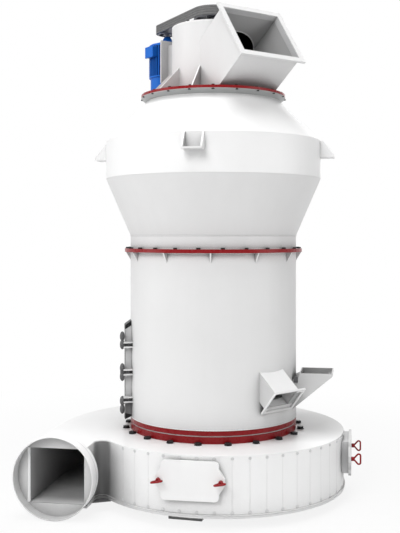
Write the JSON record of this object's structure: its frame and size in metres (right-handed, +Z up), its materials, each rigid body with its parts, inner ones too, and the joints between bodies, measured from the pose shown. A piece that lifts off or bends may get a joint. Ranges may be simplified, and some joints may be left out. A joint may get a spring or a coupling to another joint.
{
  "type": "pendulum roller mill",
  "caption": "Upright grinding mill with a snail-shaped air volute, cylindrical shell, double-cone classifier casing, belt-driven classifier and rising square outlet.",
  "frame": {"origin": "on the mill axis at ground level, the underside of the pads", "axes": "+Z up along the mill axis, -Y to the front, the way the air inlet faces"},
  "size_m": [2.9753, 2.6372, 4.655],
  "materials": {
    "white_paint": "gloss",
    "red_paint": "gloss",
    "blue_paint": "satin",
    "grey_paint": "gloss",
    "dark_steel": "satin",
    "belt_rubber": "matt"
  },
  "bodies": {
    "mill": {"foundation_pads": "dark_steel", "volute_floor": "white_paint", "volute_wall": "white_paint", "volute_cover": "white_paint", "machine_bed": "dark_steel", "inlet_plate": "white_paint", "inlet_collar": "white_paint", "front_hatch_frame": "white_paint", "front_hatch_cover": "white_paint", "side_hatch_frame": "white_paint", "side_hatch_cover": "white_paint", "clamp_ring_lower": "red_paint", "ring_seal": "white_paint", "clamp_ring_upper": "red_paint", "mill_shell": "white_paint", "access_door": "grey_paint", "door_ears": "white_paint", "door_clamps": "dark_steel", "feed_chute": "white_paint", "feed_chute_flange": "white_paint", "feed_hopper": "white_paint", "shell_flange": "red_paint", "flange_gussets": "white_paint", "lower_cone": "white_paint", "barrel_band": "white_paint", "upper_cone": "white_paint", "support_brackets": "white_paint", "casing_flange": "white_paint", "top_flange": "red_paint", "outlet_housing": "white_paint", "housing_lid": "white_paint", "housing_gussets": "white_paint", "outlet_duct": "white_paint", "outlet_flange": "white_paint", "bearing_housing": "dark_steel", "drive_belt": "belt_rubber", "motor_bracket": "white_paint", "motor_frame": "blue_paint", "motor_fan_cover": "blue_paint"},
    "classifier_drive": {"classifier_pulley": "dark_steel"},
    "motor_drive": {"motor_pulley": "dark_steel"},
    "front_left_nut": {"front_handle_left": "red_paint"},
    "front_right_nut": {"front_handle_right": "red_paint"},
    "side_near_nut": {"side_handle_near": "red_paint"},
    "side_far_nut": {"side_handle_far": "red_paint"}
  },
  "joints": [
    {"name": "classifier_spin", "type": "hinge", "parent": "mill", "child": "classifier_drive", "pos_m": [0, 0, 4.606], "axis": [0, 0, 1], "continuous": true},
    {"name": "motor_spin", "type": "hinge", "parent": "mill", "child": "motor_drive", "pos_m": [-0.57983, 0.57983, 4.606], "axis": [0, 0, 1], "continuous": true},
    {"name": "front_left_nut_turn", "type": "hinge", "parent": "mill", "child": "front_left_nut", "pos_m": [-0.266, -1.25216, 0.411], "axis": [0, -1, 0], "continuous": true},
    {"name": "front_right_nut_turn", "type": "hinge", "parent": "mill", "child": "front_right_nut", "pos_m": [0.266, -1.25216, 0.411], "axis": [0, -1, 0], "continuous": true},
    {"name": "side_near_nut_turn", "type": "hinge", "parent": "mill", "child": "side_near_nut", "pos_m": [1.32276, -0.266, 0.411], "axis": [1, 0, 0], "continuous": true},
    {"name": "side_far_nut_turn", "type": "hinge", "parent": "mill", "child": "side_far_nut", "pos_m": [1.32276, 0.266, 0.411], "axis": [1, 0, 0], "continuous": true}
  ],
  "couplings": [
    {"joint": "motor_spin", "follows": "classifier_spin", "ratio": 1.7838}
  ]
}
